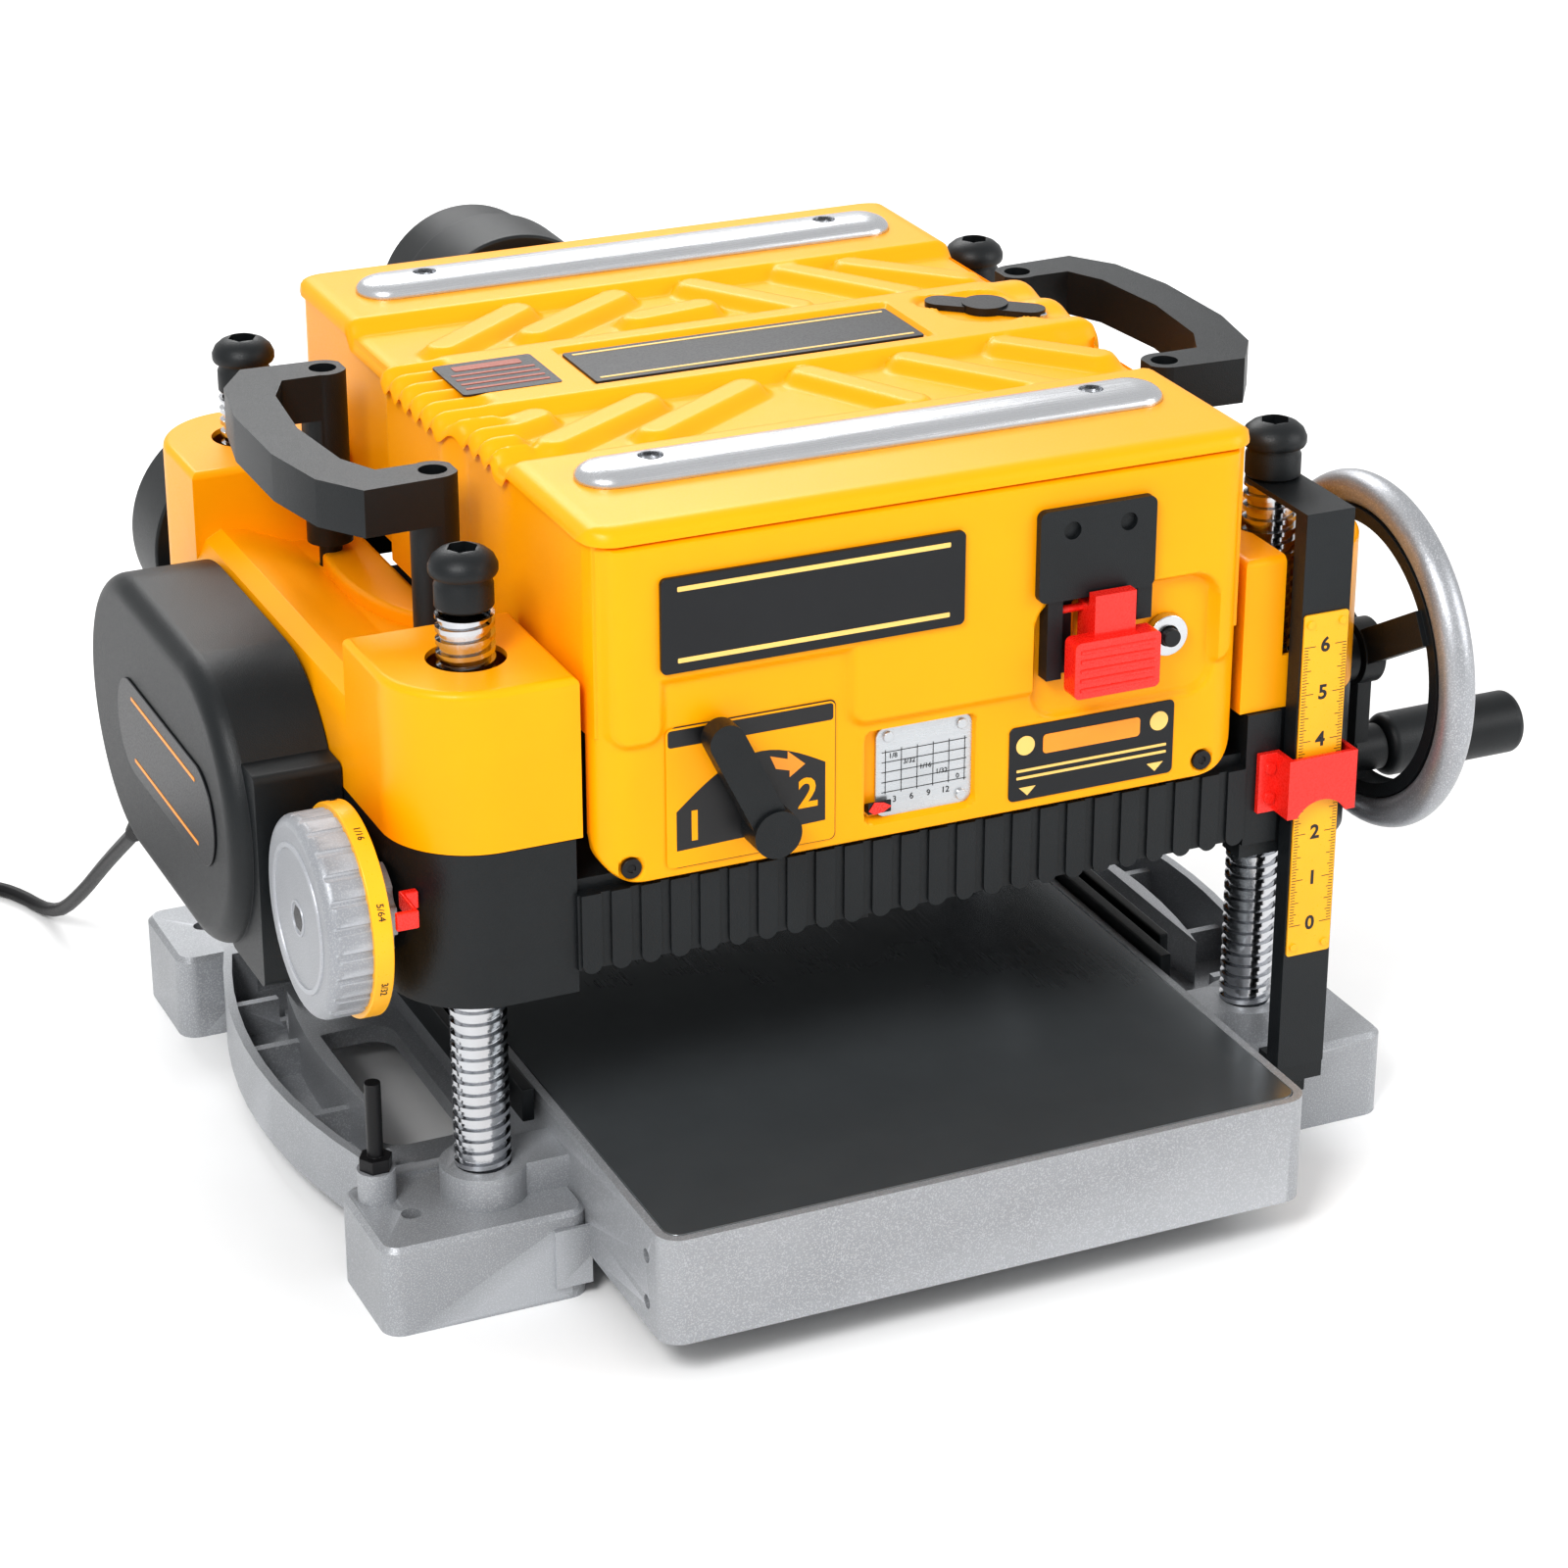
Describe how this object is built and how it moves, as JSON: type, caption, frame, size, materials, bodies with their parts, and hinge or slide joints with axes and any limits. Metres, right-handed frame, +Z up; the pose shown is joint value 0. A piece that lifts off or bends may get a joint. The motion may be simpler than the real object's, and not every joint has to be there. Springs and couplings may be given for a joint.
{
  "type": "thickness planer",
  "caption": "Portable bench thickness planer: cast base with threaded posts, lifting motor carriage with cutterhead and feed rollers, crank wheel, depth ruler, stop turret and chip outlet.",
  "frame": {"origin": "on the bench, in the middle of the four bolt holes in the base", "axes": "+Z up, -Y towards the infeed side with the control panel, +X towards the crank wheel"},
  "size_m": [0.849, 0.698, 0.4115],
  "materials": {
    "yellow_plastic": "satin moulded yellow-orange",
    "black_plastic": "fine-textured black",
    "grey_casting": "speckled silver-grey paint",
    "black_casting": "casting in satin black paint",
    "platen_steel": "ground and polished",
    "thread_steel": "plated thread",
    "black_steel": "satin black",
    "bright_steel": "bright machined",
    "rail_aluminium": "brushed, clear coat",
    "cast_aluminium": "as cast",
    "rubber_black": "matt",
    "cord_black": "smooth PVC sheath",
    "grey_plastic": "satin grey",
    "ruler_yellow": "printed strip",
    "red_plastic": "glossy red",
    "silver_plate": "printed foil",
    "dark_plate": "dark printed plate"
  },
  "bodies": {
    "base": {"base_casting": "grey_casting", "platen": "platen_steel", "post_fl": "thread_steel", "post_fr": "thread_steel", "post_rl": "thread_steel", "post_rr": "thread_steel", "post_caps": "black_plastic", "stop_screw": "black_steel", "side_bars": "black_plastic", "ruler_bracket": "black_plastic", "ruler_scale": "ruler_yellow", "cord_drop": "cord_black", "cord_floor": "cord_black", "cord_coil": "cord_black", "plug": "rubber_black"},
    "carriage": {"carriage_frame": "black_casting", "shroud_left": "yellow_plastic", "shroud_right": "yellow_plastic", "front_panel": "yellow_plastic", "label_plates": "dark_plate", "gauge_scale": "silver_plate", "panel_screws": "black_steel", "switch_bezel": "black_plastic", "breaker_collar": "bright_steel", "top_cover": "yellow_plastic", "top_rail_front": "rail_aluminium", "top_rail_rear": "rail_aluminium", "handle_left": "black_plastic", "handle_right": "black_plastic", "motor_can": "cast_aluminium", "motor_cover": "black_plastic", "drive_belt": "rubber_black", "lift_chain": "black_steel", "knob_pointer": "red_plastic", "ruler_pointer": "red_plastic", "chip_chute": "black_plastic", "strain_relief": "rubber_black"},
    "crank": {"crank_wheel": "black_plastic", "crank_rim": "cast_aluminium"},
    "crank_handle": {"crank_grip": "black_plastic"},
    "head": {"cutterhead": "bright_steel", "knives": "bright_steel", "head_pulley": "bright_steel"},
    "motor_rotor": {"motor_armature": "bright_steel"},
    "infeed": {"infeed_roller": "rubber_black"},
    "outfeed": {"outfeed_roller": "rubber_black"},
    "fan": {"chip_fan": "cast_aluminium"},
    "speed_control": {"speed_lever": "black_plastic"},
    "switch": {"switch_paddle": "red_plastic"},
    "reset": {"reset_button": "black_plastic"},
    "turret": {"depth_knob": "grey_plastic", "depth_ring": "ruler_yellow", "depth_turret": "grey_plastic"},
    "gauge": {"gauge_pointer": "black_steel"},
    "wrench": {"blade_wrench": "black_steel"},
    "nut_fl": {"lift_nut_fl": "bright_steel"},
    "nut_fr": {"lift_nut_fr": "bright_steel"},
    "nut_rl": {"lift_nut_rl": "bright_steel"},
    "nut_rr": {"lift_nut_rr": "bright_steel"}
  },
  "joints": [
    {"name": "carriage_lift", "type": "slide", "parent": "base", "child": "carriage", "axis": [0, 0, 1], "range_m": [-0.0757, 0.0735], "deforming": ["cord_drop"]},
    {"name": "crank_spin", "type": "hinge", "parent": "carriage", "child": "crank", "pos_m": [0.27, -0.166, 0.252], "axis": [1, 0, 0], "range_deg": [-17168, 16669]},
    {"name": "grip_spin", "type": "hinge", "parent": "crank", "child": "crank_handle", "pos_m": [0.32, -0.166, 0.196], "axis": [1, 0, 0], "continuous": true},
    {"name": "cutterhead_spin", "type": "hinge", "parent": "carriage", "child": "head", "pos_m": [0, 0, 0.1889], "axis": [1, 0, 0], "continuous": true},
    {"name": "motor_spin", "type": "hinge", "parent": "carriage", "child": "motor_rotor", "pos_m": [-0.24, 0.07, 0.222], "axis": [1, 0, 0], "continuous": true},
    {"name": "infeed_spin", "type": "hinge", "parent": "carriage", "child": "infeed", "pos_m": [0, -0.062, 0.1764], "axis": [1, 0, 0], "continuous": true},
    {"name": "outfeed_spin", "type": "hinge", "parent": "carriage", "child": "outfeed", "pos_m": [0, 0.062, 0.1764], "axis": [1, 0, 0], "continuous": true},
    {"name": "fan_spin", "type": "hinge", "parent": "carriage", "child": "fan", "pos_m": [-0.192, 0.236, 0.25], "axis": [0, 1, 0], "continuous": true},
    {"name": "nut_fl_spin", "type": "hinge", "parent": "carriage", "child": "nut_fl", "pos_m": [-0.2132, -0.166, 0.19], "axis": [0, 0, 1], "range_deg": [-4293, 4168]},
    {"name": "nut_fr_spin", "type": "hinge", "parent": "carriage", "child": "nut_fr", "pos_m": [0.2132, -0.166, 0.19], "axis": [0, 0, 1], "range_deg": [-4293, 4168]},
    {"name": "nut_rl_spin", "type": "hinge", "parent": "carriage", "child": "nut_rl", "pos_m": [-0.2132, 0.166, 0.19], "axis": [0, 0, 1], "range_deg": [-4293, 4168]},
    {"name": "nut_rr_spin", "type": "hinge", "parent": "carriage", "child": "nut_rr", "pos_m": [0.2132, 0.166, 0.19], "axis": [0, 0, 1], "range_deg": [-4293, 4168]},
    {"name": "speed_lever_turn", "type": "hinge", "parent": "carriage", "child": "speed_control", "pos_m": [-0.087, -0.235, 0.246], "axis": [0, 1, 0], "range_deg": [0, 55]},
    {"name": "switch_rock", "type": "hinge", "parent": "carriage", "child": "switch", "pos_m": [0.089, -0.221, 0.328], "axis": [1, 0, 0], "range_deg": [-6, 0]},
    {"name": "reset_press", "type": "slide", "parent": "carriage", "child": "reset", "axis": [0, 1, 0], "range_m": [0, 0.003], "stiffness_N_per_m": 600},
    {"name": "turret_turn", "type": "hinge", "parent": "carriage", "child": "turret", "pos_m": [-0.28, -0.166, 0.214], "axis": [1, 0, 0], "continuous": true},
    {"name": "gauge_rise", "type": "slide", "parent": "carriage", "child": "gauge", "axis": [0, 0, 1], "range_m": [0, 0.0035]},
    {"name": "wrench_lift", "type": "slide", "parent": "carriage", "child": "wrench", "axis": [0, 0, 1], "range_m": [0, 0.15]}
  ],
  "couplings": [
    {"joint": "crank_spin", "follows": "carriage_lift", "rad_per_m": 3957.9},
    {"joint": "nut_fl_spin", "follows": "carriage_lift", "rad_per_m": 989.48},
    {"joint": "nut_fr_spin", "follows": "carriage_lift", "rad_per_m": 989.48},
    {"joint": "nut_rl_spin", "follows": "carriage_lift", "rad_per_m": 989.48},
    {"joint": "nut_rr_spin", "follows": "carriage_lift", "rad_per_m": 989.48},
    {"joint": "motor_spin", "follows": "cutterhead_spin", "ratio": 2},
    {"joint": "infeed_spin", "follows": "cutterhead_spin", "ratio": -0.003559},
    {"joint": "outfeed_spin", "follows": "cutterhead_spin", "ratio": -0.003559}
  ]
}
